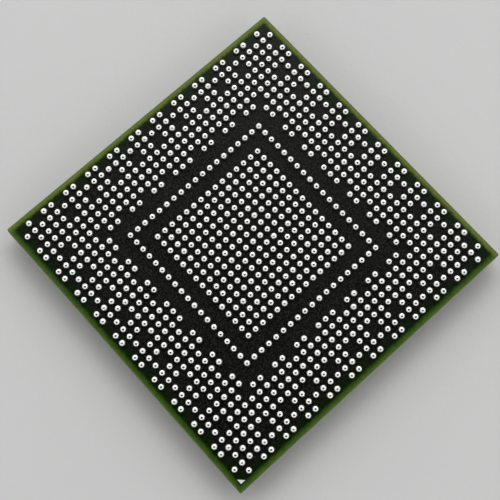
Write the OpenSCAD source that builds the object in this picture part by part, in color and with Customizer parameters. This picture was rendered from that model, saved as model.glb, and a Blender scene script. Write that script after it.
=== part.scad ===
// Flip-chip ball grid array package: a bare silicon die under a laminate substrate that carries
// the solder balls. The package lies on the back of its die, as it would on a bench, with the
// balls up. The origin is the centre of the die's back, +Z runs up to the balls, the sides run
// along X and Y, and the first corner (the one with the marks) is at -X, -Y.
// All sizes are in millimetres.

/* [Package] */
// Side of the square package
package_w = 29; // [28.6:0.1:34]
// Radius of the package's four corners
corner_r = 0.15; // [0.05:0.05:0.4]
// Thickness of the laminate
laminate_t = 1.1; // [0.4:0.1:2]
// Thickness of the outer copper layer on each side
copper_t = 0.02; // [0.01:0.005:0.04]
// Distance from the package's side to the copper
copper_setback = 0.39; // [0.3:0.01:0.5]
// Thickness of the solder mask over the copper
mask_t = 0.03; // [0.02:0.005:0.05]
// Width of the bare rim of laminate round the solder mask
mask_setback = 0.08; // [0.02:0.01:0.2]

/* [Ball array] */
// Ball positions along each side of the array
array_n = 35; // [25:2:35]
// Distance between neighbouring positions
pitch = 0.8; // [0.76:0.01:0.81]
// Diameter of a solder ball
ball_d = 0.55; // [0.5:0.01:0.6]
// Diameter of the flat where a ball is joined to its pad
joint_d = 0.42; // [0.36:0.01:0.46]
// Thickness of the plated pad under a ball
pad_t = 0.01; // [0.005:0.005:0.015]
// Clearance between a ball and the rim of its opening in the solder mask
ball_clearance = 0.01; // [0.005:0.005:0.02]

/* [Die] */
// Length of the silicon die along X
die_l = 12; // [9:0.5:14]
// Width of the silicon die along Y
die_w = 11; // [9:0.5:14]
// Thickness of the silicon die
die_t = 0.78; // [0.65:0.01:0.9]
// Gap between the die and the solder mask, bridged by the bumps
die_standoff = 0.08; // [0.05:0.01:0.12]
// Diameter of a bump
bump_d = 0.12; // [0.08:0.01:0.16]
// Distance between neighbouring bumps
bump_pitch = 0.75; // [0.6:0.05:1]
// Least distance from a side of the die to the middle of a bump
bump_margin = 0.4; // [0.3:0.05:1]
// Diameter of the copper pad under a bump
bump_pad_d = 0.18; // [0.16:0.01:0.3]
// How far the underfill spreads out from the die over the solder mask
underfill_spread = 1; // [0.5:0.1:1.4]
// How far the underfill climbs the sides of the die
underfill_climb = 0.45; // [0.2:0.05:0.6]

/* [Capacitors] */
// Capacitors along each side of the die
caps_per_side = 3; // [1:1:4]
// Distance between neighbouring capacitors
cap_spacing = 2.6; // [2.2:0.1:3]
// Distance from the edge of the underfill to the capacitors
cap_keepout = 0.5; // [0.2:0.1:1]
// Length of a capacitor over its metal end caps
cap_l = 1; // [0.8:0.1:1.2]
// Width of a capacitor
cap_w = 0.5; // [0.4:0.05:0.6]
// Height of a capacitor
cap_h = 0.5; // [0.3:0.05:0.55]
// Length of each metal end cap along the capacitor
end_cap_l = 0.25; // [0.15:0.01:0.3]
// Wall of an end cap
end_cap_t = 0.02; // [0.01:0.005:0.025]
// Radius of the capacitor's rounded edges
cap_edge_r = 0.04; // [0.03:0.005:0.06]
// How far a land reaches past the end of its capacitor
land_toe = 0.2; // [0.1:0.01:0.3]
// How far a land reaches past each side of its capacitor
land_side = 0.05; // [0.02:0.01:0.1]
// Clearance between a land and the rim of its opening in the solder mask
land_clearance = 0.05; // [0.02:0.01:0.08]
// How far the solder climbs an end cap
solder_climb = 0.3; // [0.1:0.05:0.35]

/* [First corner] */
// Leg of the printed triangle on the ball side
mark_leg = 0.45; // [0.3:0.05:0.6]
// Distance from the package's sides to that triangle
mark_inset = 0.53; // [0.4:0.01:0.6]
// Thickness of the printed ink
ink_t = 0.015; // [0.01:0.005:0.03]
// Leg of the plated triangle on the die side
corner_plating_leg = 1.3; // [0.8:0.1:2]
// Distance from the package's sides to that triangle
corner_plating_inset = 0.7; // [0.6:0.1:1.2]
// Thickness of that plating
plating_t = 0.01; // [0.005:0.005:0.015]

/* [Hidden] */
// Heights, from the back of the die up to the balls
die_face_z = die_t;
die_mask_z = die_face_z + die_standoff;
die_copper_z = die_mask_z + mask_t;
laminate_z = die_copper_z + copper_t;
ball_copper_z = laminate_z + laminate_t;
pad_z = ball_copper_z + copper_t;
joint_z = pad_z + pad_t;
ball_mask_z = pad_z + mask_t;

// A ball is a sphere cut flat where it meets its pad. Its opening in the solder mask clears it at
// the mask's outer face, and bares as much copper as the pad covers.
ball_r = ball_d / 2;
ball_rise = sqrt(pow(ball_r, 2) - pow(joint_d / 2, 2));
ball_z = joint_z + ball_rise;
opening_r = sqrt(pow(ball_r, 2) - pow(ball_z - ball_mask_z, 2)) + ball_clearance;

// Rings of positions are numbered from the middle of the array outwards. The escape step is the
// count of positions after which the traces need a free one. Two rings are empty, so that they
// part the core, the single ring and the field, and one outer and one inner ring of the field
// are thinned out, as is the edge.
edge_ring = (array_n - 1) / 2;
thinned_outer_ring = edge_ring - 2;
thinned_inner_ring = edge_ring - 6;
outer_gap_ring = edge_ring - 7;
single_ring = edge_ring - 8;
inner_gap_ring = edge_ring - 9;
core_ring = edge_ring - 10;
escape_step = 3;

// Whether the ring holds a ball at this many positions from the middle of its side
function populated(ring, place) =
    ring == edge_ring ? place % escape_step != 0 && place != ring
    : ring == thinned_outer_ring ? place % escape_step != 0 || place == ring
    : ring == thinned_inner_ring ? place % escape_step != escape_step - 1
    : ring != outer_gap_ring && ring != inner_gap_ring;

// A point turned by this many quarters round the middle
function turned(p, quarters) = quarters == 0 ? p : turned([-p.y, p.x], quarters - 1);

core_places = [
    for (column = [-core_ring : core_ring], row = [-core_ring : core_ring]) [column, row] * pitch
];
function ring_places(ring, side) = [
    for (place = [-ring : ring - 1])
        if (populated(ring, abs(place))) turned([place, -ring] * pitch, side)
];
function field_places(side) = [
    for (ring = [thinned_inner_ring : edge_ring - 1]) each ring_places(ring, side)
];
sides = [0 : 3];
ball_places = concat(
    core_places,
    [for (side = sides) each ring_places(single_ring, side)],
    [for (side = sides) each field_places(side)],
    [for (side = sides) each ring_places(edge_ring, side)]
);

// Bumps fill the face of the die up to the margin
bump_columns = floor((die_l - 2 * bump_margin) / bump_pitch) + 1;
bump_rows = floor((die_w - 2 * bump_margin) / bump_pitch) + 1;
bump_places = [
    for (column = [0 : bump_columns - 1], row = [0 : bump_rows - 1])
        [column - (bump_columns - 1) / 2, row - (bump_rows - 1) / 2] * bump_pitch
];
bump_field = [bump_columns, bump_rows] * bump_pitch;
// Steps along the hollow curve of the underfill and of a solder joint
curve_steps = 6;

// A land lies under each end cap and reaches past it
cap_count = 4 * caps_per_side;
land_l = end_cap_l + land_toe;
land_w = cap_w + 2 * land_side;
land_x = cap_l / 2 - end_cap_l + land_l / 2;
lands_l = 2 * land_x + land_l;
cap_row = underfill_spread + cap_keepout + land_w / 2;

caps = [1 : cap_count];

$fn = 24;

// Outline of the package, drawn in by the setback
module outline(setback) {
    w = package_w - 2 * setback;
    rounded_rectangle(w, w, corner_r);
}

module rounded_rectangle(l, w, r) {
    square([l - 2 * r, w], center = true);
    square([l, w - 2 * r], center = true);
    for (x = [-1, 1], y = [-1, 1])
        translate([x * (l / 2 - r), y * (w / 2 - r)]) circle(r);
}

// Triangle in the first corner, with its right angle at the inset from both sides
module corner_triangle(leg, inset) {
    translate([1, 1] * (inset - package_w / 2)) polygon([[0, 0], [leg, 0], [0, leg]]);
}

module pillars(places, d, z, h) {
    for (p = places) translate([p.x, p.y, z]) cylinder(d = d, h = h);
}

// Puts what is drawn upwards from a face onto the die side, where it hangs down from that height
module hang(z) {
    translate([0, 0, z]) mirror([0, 0, 1]) children();
}

// ---- Substrate ----

module substrate() {
    color("darkkhaki") translate([0, 0, laminate_z]) linear_extrude(laminate_t) outline(0);
}

module ball_side_copper() {
    color("darkorange") translate([0, 0, ball_copper_z])
        linear_extrude(copper_t) outline(copper_setback);
}

module ball_pads() {
    color("gold") pillars(ball_places, 2 * opening_r, pad_z, pad_t);
}

// The solder mask lies over the copper and, past the copper's edge, on the laminate
module ball_side_mask() {
    color("darkgreen") difference() {
        translate([0, 0, ball_copper_z]) linear_extrude(copper_t + mask_t) outline(mask_setback);
        ball_side_copper();
        pillars(ball_places, 2 * opening_r, pad_z, 2 * mask_t);
    }
}

module ball_side_mark() {
    color("white") translate([0, 0, ball_mask_z]) linear_extrude(ink_t)
        corner_triangle(mark_leg, mark_inset);
}

// ---- Die side ----

// One of the capacitors' places, with X along the capacitor
module at_cap(i) {
    side = floor((i - 1) / caps_per_side);
    along = ((i - 1) % caps_per_side - (caps_per_side - 1) / 2) * cap_spacing;
    die_half = (side % 2 == 0 ? die_w : die_l) / 2;
    rotate(90 * side) translate([along, -die_half - cap_row]) children();
}

module at_lands(i) {
    at_cap(i) for (x = [-1, 1]) scale([x, 1, 1]) translate([land_x, 0]) children();
}

// Openings of the die-side mask over the lands
module land_openings() {
    for (i = caps) at_lands(i)
        square([land_l, land_w] + [2, 2] * land_clearance, center = true);
}

// Copper with a window for the bumps and one for each pair of lands
module die_side_copper() {
    color("darkorange") hang(laminate_z) linear_extrude(copper_t) difference() {
        outline(copper_setback);
        square(bump_field, center = true);
        for (i = caps) at_cap(i)
            square([lands_l, land_w] + [4, 4] * land_clearance, center = true);
    }
}

module bump_pads() {
    color("gold") pillars(bump_places, bump_pad_d, die_copper_z, copper_t);
}

module capacitor_lands() {
    color("gold") hang(laminate_z) linear_extrude(copper_t)
        for (i = caps) at_lands(i) square([land_l, land_w], center = true);
}

module corner_plating() {
    color("gold") hang(die_copper_z) linear_extrude(plating_t)
        corner_triangle(corner_plating_leg, corner_plating_inset);
}

module die_side_mask() {
    color("darkgreen") difference() {
        hang(laminate_z) linear_extrude(copper_t + mask_t) outline(mask_setback);
        die_side_copper();
        bump_pads();
        pillars(bump_places, bump_d, die_mask_z - mask_t, 2 * mask_t);
        hang(laminate_z) linear_extrude(copper_t + 2 * mask_t) land_openings();
        hang(die_copper_z) linear_extrude(2 * mask_t)
            corner_triangle(corner_plating_leg, corner_plating_inset);
    }
}

module die() {
    color("dimgray") translate([-die_l / 2, -die_w / 2, 0]) cube([die_l, die_w, die_t]);
}

module bumps() {
    color("silver") pillars(bump_places, bump_d, die_face_z, die_standoff + mask_t);
}

// Hollow curve in the corner between a wall at x = 0 and a floor at y = 0
function hollow_curve(l, h) = [
    for (step = [0 : curve_steps]) let (a = 90 * step / curve_steps)
        [l * (1 - sin(a)), h * (1 - cos(a))]
];

module hollow_fillet(l, h) {
    polygon(concat([[0, 0]], hollow_curve(l, h)));
}

// Runs a profile round the outside of a rectangle, with its x outwards and its y up
module round_rectangle(l, w) {
    for (side = sides) {
        run = side % 2 == 0 ? l : w;
        out = side % 2 == 0 ? w : l;
        rotate(90 * side) translate([0, -out / 2, 0]) {
            rotate([90, 0, -90]) linear_extrude(run, center = true) children();
            translate([run / 2, 0, 0]) rotate(-90) rotate_extrude(angle = 90) children();
        }
    }
}

module underfill() {
    color("midnightblue") difference() {
        hang(die_mask_z) union() {
            translate([-die_l / 2, -die_w / 2, 0]) cube([die_l, die_w, die_standoff]);
            round_rectangle(die_l, die_w)
                hollow_fillet(underfill_spread, die_standoff + underfill_climb);
        }
        pillars(bump_places, bump_d, die_face_z - die_standoff, 3 * die_standoff);
    }
}

// Block with rounded edges along its length and down its corners
module rounded_block(l, w, h, r) {
    intersection() {
        linear_extrude(h, center = true) rounded_rectangle(l, w, r);
        rotate([90, 0, 90]) linear_extrude(l, center = true) rounded_rectangle(w, h, r);
    }
}

// The middle of one of the capacitors, which stands on solder as thick as the mask
module in_cap(i) {
    at_cap(i) hang(die_copper_z) translate([0, 0, mask_t + cap_h / 2]) children();
}

module cap_ceramic() {
    rounded_block(
        cap_l - 2 * end_cap_t, cap_w - 2 * end_cap_t, cap_h - 2 * end_cap_t,
        cap_edge_r - end_cap_t
    );
}

module capacitor(i) {
    color("peru") in_cap(i) cap_ceramic();
}

module capacitor_ends(i) {
    color("silver") in_cap(i) for (x = [-1, 1]) difference() {
        intersection() {
            rounded_block(cap_l, cap_w, cap_h, cap_edge_r);
            translate([x * (cap_l - end_cap_l) / 2, 0, 0])
                cube([end_cap_l, cap_w, cap_h], center = true);
        }
        cap_ceramic();
    }
}

// A joint is a film of solder on the land and a hollow fillet up the end cap
module capacitor_solder() {
    color("silver") for (i = caps) at_cap(i) for (x = [-1, 1]) scale([x, 1, 1])
        hang(die_copper_z) union() {
            translate([cap_l / 2 - end_cap_l, -cap_w / 2, 0]) cube([land_l, cap_w, mask_t]);
            translate([cap_l / 2, 0, mask_t]) rotate([90, 0, 0])
                linear_extrude(cap_w, center = true) hollow_fillet(land_toe, solder_climb);
        }
}

// ---- Solder balls ----

module balls(places) {
    color("gainsboro") for (p = places) translate([p.x, p.y, joint_z]) intersection() {
        translate([0, 0, ball_rise]) sphere(ball_r);
        translate([-ball_d, -ball_d, 0]) cube(2 * ball_d);
    }
}

substrate();
ball_side_copper();
ball_pads();
ball_side_mask();
ball_side_mark();
die_side_copper();
bump_pads();
capacitor_lands();
corner_plating();
die_side_mask();
die();
bumps();
underfill();
capacitor_solder();
balls(core_places);  // balls_core
for (side = sides) {
    balls(ring_places(single_ring, side));
    balls(field_places(side));
    balls(ring_places(edge_ring, side));
}
for (i = caps) {
    capacitor(i);
    capacitor_ends(i);
}
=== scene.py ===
"""Looks of a flip-chip ball grid array package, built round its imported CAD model.

Blender 4.5, in metres. The CAD nodes keep their meshes and places. This script gives them node
materials, and adds a table, a light tent, a lamp and a camera that looks down at the balls.
"""

from math import cos, radians, sin

import bpy
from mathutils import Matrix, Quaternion, Vector


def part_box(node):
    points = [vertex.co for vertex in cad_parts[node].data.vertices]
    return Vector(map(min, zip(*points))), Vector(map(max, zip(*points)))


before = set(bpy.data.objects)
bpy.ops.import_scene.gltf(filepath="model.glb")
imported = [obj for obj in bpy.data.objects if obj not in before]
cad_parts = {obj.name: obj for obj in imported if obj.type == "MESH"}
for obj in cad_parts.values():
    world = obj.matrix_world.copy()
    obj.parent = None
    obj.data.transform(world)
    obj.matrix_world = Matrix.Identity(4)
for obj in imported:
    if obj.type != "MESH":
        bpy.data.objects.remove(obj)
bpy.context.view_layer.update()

MM = 0.001

# ---- Places, read from the frame ----

laminate_low, laminate_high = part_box("substrate")
copper_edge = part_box("ball_side_copper")[1].x

SIDES = range(1, 5)
BALL_NODES = ["balls_core"] + [
    f"balls_{zone}_{side}" for zone in ("ring", "field", "edge") for side in SIDES
]
CAPACITORS = range(1, 13)

# The outer row of balls reaches this many positions to each side of its middle
EDGE_REACH = 16
edge_low, edge_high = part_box("balls_edge_1")
ball_d = edge_high.y - edge_low.y
pitch = (edge_high.x - edge_low.x - ball_d) / (2 * EDGE_REACH)
ball_top = edge_high.z


# ---- Node materials ----

def colour(value):
    """Adds the alpha that a colour socket wants to a plain colour."""
    return (*value, 1.0) if isinstance(value, tuple) and len(value) == 3 else value


class Finish:
    """A material built from nodes. A socket takes a plain value or another node's output."""

    def __init__(self, name):
        self.material = bpy.data.materials.new(name)
        self.material.use_nodes = True
        self.tree = self.material.node_tree
        self.tree.nodes.clear()
        self.shader = self.add("ShaderNodeBsdfPrincipled")
        output = self.add("ShaderNodeOutputMaterial")
        self.tree.links.new(self.shader.outputs["BSDF"], output.inputs["Surface"])
        self.place = self.add("ShaderNodeTexCoord").outputs["Object"]

    def add(self, kind, settings=None, **inputs):
        """Adds a node. An underscore in an input's name stands for a space."""
        node = self.tree.nodes.new(kind)
        for key, value in (settings or {}).items():
            setattr(node, key, value)
        self.put(node, {key.replace("_", " "): value for key, value in inputs.items()})
        return node

    def put(self, node, values):
        for key, value in values.items():
            socket = node.inputs[key]
            if isinstance(value, bpy.types.NodeSocket):
                self.tree.links.new(value, socket)
            else:
                socket.default_value = value

    def set(self, **values):
        """Sets inputs of the material's shader."""
        self.put(self.shader, {key.replace("_", " "): value for key, value in values.items()})

    def math(self, operation, a, b):
        node = self.add("ShaderNodeMath", {"operation": operation})
        self.put(node, {0: a, 1: b})
        return node.outputs[0]

    def vector_math(self, operation, a, b=(0, 0, 0)):
        node = self.add("ShaderNodeVectorMath", {"operation": operation})
        self.put(node, {0: a, 1: b})
        return node.outputs[0]

    def axes(self):
        return self.add("ShaderNodeSeparateXYZ", Vector=self.place).outputs

    def stretched(self, scale):
        return self.vector_math("MULTIPLY", self.place, scale)

    def noise(self, size, detail=3.0, roughness=0.55, place=None, distortion=0.0):
        """Noise from 0 to 1 whose grains are about this size."""
        node = self.add("ShaderNodeTexNoise", Vector=place or self.place, Scale=1 / size,
                        Detail=detail, Roughness=roughness, Distortion=distortion)
        return node.outputs["Fac"]

    def ramp(self, value, low, high, to_low=0.0, to_high=1.0, smooth=True):
        """Maps low..high to to_low..to_high, held at both ends."""
        kind = "SMOOTHSTEP" if smooth else "LINEAR"
        node = self.add("ShaderNodeMapRange", {"interpolation_type": kind})
        self.put(node, {"Value": value, "From Min": low, "From Max": high,
                        "To Min": to_low, "To Max": to_high})
        return node.outputs["Result"]

    def mix(self, factor, a, b):
        node = self.add("ShaderNodeMix", {"data_type": "RGBA"})
        self.put(node, {0: factor, 6: colour(a), 7: colour(b)})
        return node.outputs[2]

    def bump(self, height, depth):
        """Relief of this depth, in metres."""
        return self.add("ShaderNodeBump", Height=height, Distance=depth).outputs["Normal"]


def dress(finish, *nodes):
    """Gives the finish to CAD nodes."""
    for name in nodes:
        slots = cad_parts[name].data.materials
        slots.clear()
        slots.append(finish.material)


def grained(name, size, tints, roughness, depth, metallic):
    """A finish that one fine grain colours, roughens and raises."""
    f = Finish(name)
    grain = f.noise(size, detail=4)
    f.set(Base_Color=f.mix(grain, *tints), Metallic=metallic)
    f.set(Roughness=f.ramp(grain, 0.3, 0.7, *roughness), Normal=f.bump(grain, depth))
    return f


def ball_solder():
    """Bright reflowed solder, a little different from ball to ball."""
    f = Finish("ball_solder")
    # Whole numbers of pitches tell the balls apart, and each number has a random value of its own
    pitches = f.stretched((1 / pitch,) * 3)
    ball = f.vector_math("FLOOR", f.vector_math("ADD", pitches, (0.5, 0.5, 0.0)))
    own = f.add("ShaderNodeTexWhiteNoise", {"noise_dimensions": "2D"}, Vector=ball).outputs["Value"]
    grain = f.noise(0.06 * MM, detail=4)
    tone = f.math("ADD", f.math("MULTIPLY", own, 0.5), f.math("MULTIPLY", grain, 0.5))
    f.set(Base_Color=f.mix(tone, (0.76, 0.76, 0.75), (0.92, 0.92, 0.90)), Metallic=0.95)
    wear = f.math("ADD", own, f.math("MULTIPLY", grain, 0.3))
    f.set(Roughness=f.ramp(wear, 0.0, 1.3, 0.07, 0.32))
    f.set(Normal=f.bump(f.noise(0.11 * MM, detail=2), 0.012 * MM))
    return f


def solder_mask():
    """Near black over the copper, and green in the border, where only the laminate lies below it.

    The border green is painted paler along +X and +Y as painted light, and darker along -X and -Y
    as painted shade.
    """
    f = Finish("solder_mask")
    x, y, _ = f.axes()
    back_x, back_y = f.math("MULTIPLY", x, -1.0), f.math("MULTIPLY", y, -1.0)
    wander = f.ramp(f.noise(0.5 * MM), 0.3, 0.7, -0.05 * MM, 0.05 * MM, smooth=False)
    # Distances out towards the +X and +Y sides and towards the -X and -Y sides. They set where the
    # border gets painted light and where it gets painted shade.
    lit_side = f.math("ADD", wander, f.math("MAXIMUM", x, y))
    shaded_side = f.math("ADD", wander, f.math("MAXIMUM", back_x, back_y))
    reach = f.math("MAXIMUM", lit_side, shaded_side)

    cloud = f.ramp(f.noise(3 * MM, detail=4), 0.35, 0.65)
    over_copper = f.mix(cloud, (0.0016, 0.0018, 0.0008), (0.0034, 0.0035, 0.0010))
    speck = f.ramp(f.noise(0.13 * MM, detail=3, roughness=0.6), 0.46, 0.70)
    over_copper = f.mix(speck, over_copper, (0.030, 0.030, 0.027))
    near_edge = f.ramp(reach, copper_edge - 1.1 * MM, copper_edge - 0.4 * MM)
    over_copper = f.mix(near_edge, over_copper, (0.0030, 0.0105, 0.0008))

    mottle = f.noise(0.45 * MM, detail=4)
    # Lit and shaded copies of the border green. The darker one is painted shade for -X and -Y, and
    # its border starts later and fades in more slowly. The paler one is painted light for +X and
    # +Y.
    shaded_border_green = f.mix(mottle, (0.044, 0.125, 0.008), (0.100, 0.195, 0.026))
    lit_border_green = f.mix(mottle, (0.090, 0.138, 0.016), (0.165, 0.212, 0.038))
    shaded_border = f.ramp(shaded_side, copper_edge - 0.18 * MM, copper_edge + 0.44 * MM, smooth=False)
    lit_border = f.ramp(lit_side, copper_edge - 0.22 * MM, copper_edge + 0.21 * MM)
    tint = f.mix(shaded_border, over_copper, shaded_border_green)
    f.set(Base_Color=f.mix(lit_border, tint, lit_border_green), Specular_IOR_Level=0.16)
    f.set(Roughness=f.ramp(f.noise(0.25 * MM), 0.3, 0.7, 0.24, 0.36))
    f.set(Normal=f.bump(f.noise(0.18 * MM, detail=3), 0.004 * MM))
    return f


def laminate():
    """Cut edge of glass cloth in resin: fine lengthwise bundles between two green films."""
    f = Finish("laminate_edge")
    z = f.axes()[2]
    threads = f.noise(1.0, detail=4, place=f.stretched((500, 500, 9000)))
    weave = f.noise(1.0, detail=2, place=f.stretched((1400, 1400, 6000)))
    core = f.mix(f.ramp(threads, 0.35, 0.65), (0.115, 0.150, 0.055), (0.21, 0.245, 0.11))
    core = f.mix(f.ramp(weave, 0.55, 0.75, 0.0, 0.6), core, (0.30, 0.32, 0.17))
    film = 0.16 * MM
    above = f.ramp(z, laminate_high.z - film, laminate_high.z - 0.8 * film)
    below = f.ramp(z, laminate_low.z + film, laminate_low.z + 0.8 * film)
    films = f.math("MULTIPLY", f.math("MAXIMUM", above, below), 0.75)
    f.set(Base_Color=f.mix(films, core, (0.10, 0.15, 0.04)))
    f.set(Roughness=f.ramp(threads, 0.3, 0.7, 0.5, 0.72))
    cuts = f.noise(1.0, detail=3, place=f.stretched((22000, 22000, 900)))
    f.set(Normal=f.bump(f.math("ADD", cuts, threads), 0.008 * MM))
    return f


def silicon():
    """Back of the die, ground in long arcs and etched."""
    f = Finish("silicon_back")
    from_centre = f.vector_math("SUBTRACT", f.place, (45 * MM, -60 * MM, 0))
    arcs = f.add("ShaderNodeTexWave", {"wave_type": "RINGS", "rings_direction": "Z"},
                 Vector=from_centre, Scale=1500.0, Distortion=2.0, Detail=3.0, Detail_Scale=400.0)
    lines = arcs.outputs["Fac"]
    stain = f.ramp(f.noise(4 * MM, detail=3), 0.3, 0.7)
    f.set(Base_Color=f.mix(stain, (0.085, 0.090, 0.102), (0.125, 0.128, 0.138)), Metallic=0.85)
    f.set(Roughness=f.ramp(f.math("ADD", lines, stain), 0.0, 2.0, 0.20, 0.34))
    f.set(Normal=f.bump(lines, 0.0012 * MM))
    return f


def underfill_resin():
    f = Finish("underfill_resin")
    flow = f.noise(0.8 * MM, detail=3, distortion=0.6)
    f.set(Base_Color=f.mix(flow, (0.010, 0.011, 0.014), (0.026, 0.024, 0.022)))
    f.set(Roughness=f.ramp(flow, 0.3, 0.7, 0.22, 0.40), Normal=f.bump(flow, 0.015 * MM))
    return f


joint_solder = grained("joint_solder", 0.05 * MM, ((0.66, 0.66, 0.65), (0.82, 0.82, 0.80)),
                       roughness=(0.2, 0.38), depth=0.006 * MM, metallic=1.0)
white_ink = grained("white_ink", 0.05 * MM, ((0.70, 0.71, 0.68), (0.88, 0.88, 0.86)),
                    roughness=(0.55, 0.75), depth=0.004 * MM, metallic=0.0)
ceramic = grained("capacitor_ceramic", 0.04 * MM, ((0.20, 0.115, 0.062), (0.34, 0.22, 0.13)),
                  roughness=(0.42, 0.6), depth=0.003 * MM, metallic=0.0)
tin = grained("tin_plating", 0.03 * MM, ((0.56, 0.55, 0.52), (0.76, 0.75, 0.72)),
              roughness=(0.34, 0.52), depth=0.003 * MM, metallic=1.0)
gold = grained("gold_plating", 0.08 * MM, ((0.80, 0.54, 0.22), (0.92, 0.68, 0.34)),
               roughness=(0.26, 0.42), depth=0.003 * MM, metallic=1.0)
copper = grained("bare_copper", 0.2 * MM, ((0.62, 0.30, 0.17), (0.80, 0.42, 0.26)),
                 roughness=(0.3, 0.5), depth=0.003 * MM, metallic=1.0)

dress(laminate(), "substrate")
dress(solder_mask(), "ball_side_mask", "die_side_mask")
dress(copper, "ball_side_copper", "die_side_copper")
dress(gold, "ball_pads", "bump_pads", "capacitor_lands", "corner_plating")
dress(white_ink, "ball_side_mark")
dress(silicon(), "die")
dress(underfill_resin(), "underfill")
dress(joint_solder, "bumps", "capacitor_solder")
dress(ceramic, *[f"capacitor_{i}" for i in CAPACITORS])
dress(tin, *[f"capacitor_ends_{i}" for i in CAPACITORS])
dress(ball_solder(), *BALL_NODES)


# ---- Stage, light and camera ----

FLOOR_REACH = 1.0
# The tent's dark gap: its axis, and the angles from it at which the gap ends and the tent begins
GAP_AXIS = Vector((-0.22, -0.22, 1.0)).normalized()
GAP_ENDS, TENT_BEGINS = radians(36), radians(46)
GAP_LEVEL, TENT_LEVEL = 0.03, 1.2
# The camera's place and aim, from the middle of the package. It is aimed at a level just below the
# tops of the balls.
SIGHT_LEVEL = ball_top - 0.15 * MM
CAMERA_PLACE = Vector((-17.53 * MM, -17.13 * MM, SIGHT_LEVEL + 91.90 * MM))
CAMERA_AIM = Vector((-0.695 * MM, -0.385 * MM, SIGHT_LEVEL))
CAMERA_LEAN = radians(-3.04)
CAMERA_LENS, CAMERA_SENSOR = 82.6, 36.0


def floor():
    f = Finish("pale_table")
    tone = f.noise(30 * MM, detail=2)
    f.set(Base_Color=f.mix(tone, (0.64, 0.64, 0.64), (0.67, 0.67, 0.665)), Roughness=0.8)
    f.set(Normal=f.bump(f.noise(0.6 * MM, detail=4), 0.02 * MM))
    mesh = bpy.data.meshes.new("floor")
    square = ((-1, -1), (1, -1), (1, 1), (-1, 1))
    corners = [(x * FLOOR_REACH, y * FLOOR_REACH, 0) for x, y in square]
    mesh.from_pydata(corners, [], [(0, 1, 2, 3)])
    mesh.materials.append(f.material)
    piece = bpy.data.objects.new("floor", mesh)
    bpy.context.scene.collection.objects.link(piece)


def tent():
    """A pale light tent all round, with a dark gap overhead where the lens looks in."""
    world = bpy.data.worlds.new("tent")
    bpy.context.scene.world = world
    world.use_nodes = True
    tree = world.node_tree
    tree.nodes.clear()
    link = tree.links.new
    towards = tree.nodes.new("ShaderNodeVectorMath")
    towards.operation = "DOT_PRODUCT"
    link(tree.nodes.new("ShaderNodeTexCoord").outputs["Generated"], towards.inputs[0])
    towards.inputs[1].default_value = GAP_AXIS
    level = tree.nodes.new("ShaderNodeMapRange")
    level.interpolation_type = "SMOOTHSTEP"
    link(towards.outputs["Value"], level.inputs["Value"])
    level.inputs["From Min"].default_value = cos(TENT_BEGINS)
    level.inputs["From Max"].default_value = cos(GAP_ENDS)
    level.inputs["To Min"].default_value = TENT_LEVEL
    level.inputs["To Max"].default_value = GAP_LEVEL
    background = tree.nodes.new("ShaderNodeBackground")
    background.inputs["Color"].default_value = (1.0, 1.0, 1.0, 1.0)
    link(level.outputs["Result"], background.inputs["Strength"])
    link(background.outputs[0], tree.nodes.new("ShaderNodeOutputWorld").inputs[0])


def softbox(name, azimuth, elevation, distance, size, power):
    """A square area lamp that faces the chip. Azimuth 0 is at +X, and 90 at +Y."""
    data = bpy.data.lights.new(name, "AREA")
    data.size = size
    data.energy = power
    lamp = bpy.data.objects.new(name, data)
    bpy.context.scene.collection.objects.link(lamp)
    a, e = radians(azimuth), radians(elevation)
    lamp.location = distance * Vector((cos(a) * cos(e), sin(a) * cos(e), sin(e)))
    lamp.rotation_euler = lamp.location.to_track_quat("Z", "Y").to_euler()


def camera():
    """Looks down at the ball side from over the first corner, leaning a little to one side."""
    data = bpy.data.cameras.new("camera")
    data.sensor_width = CAMERA_SENSOR
    data.lens = CAMERA_LENS
    data.clip_start = 0.001
    cam = bpy.data.objects.new("camera", data)
    bpy.context.scene.collection.objects.link(cam)
    cam.location = CAMERA_PLACE
    turn = (CAMERA_AIM - CAMERA_PLACE).to_track_quat("-Z", "Y")
    line_of_sight = Vector((0, 0, -1))
    cam.rotation_mode = "QUATERNION"
    cam.rotation_quaternion = turn @ Quaternion(line_of_sight, CAMERA_LEAN)
    bpy.context.scene.camera = cam


floor()
tent()
softbox("key", azimuth=45, elevation=35, distance=0.4, size=0.4, power=0.6)
camera()
bpy.context.scene.view_settings.view_transform = "Standard"
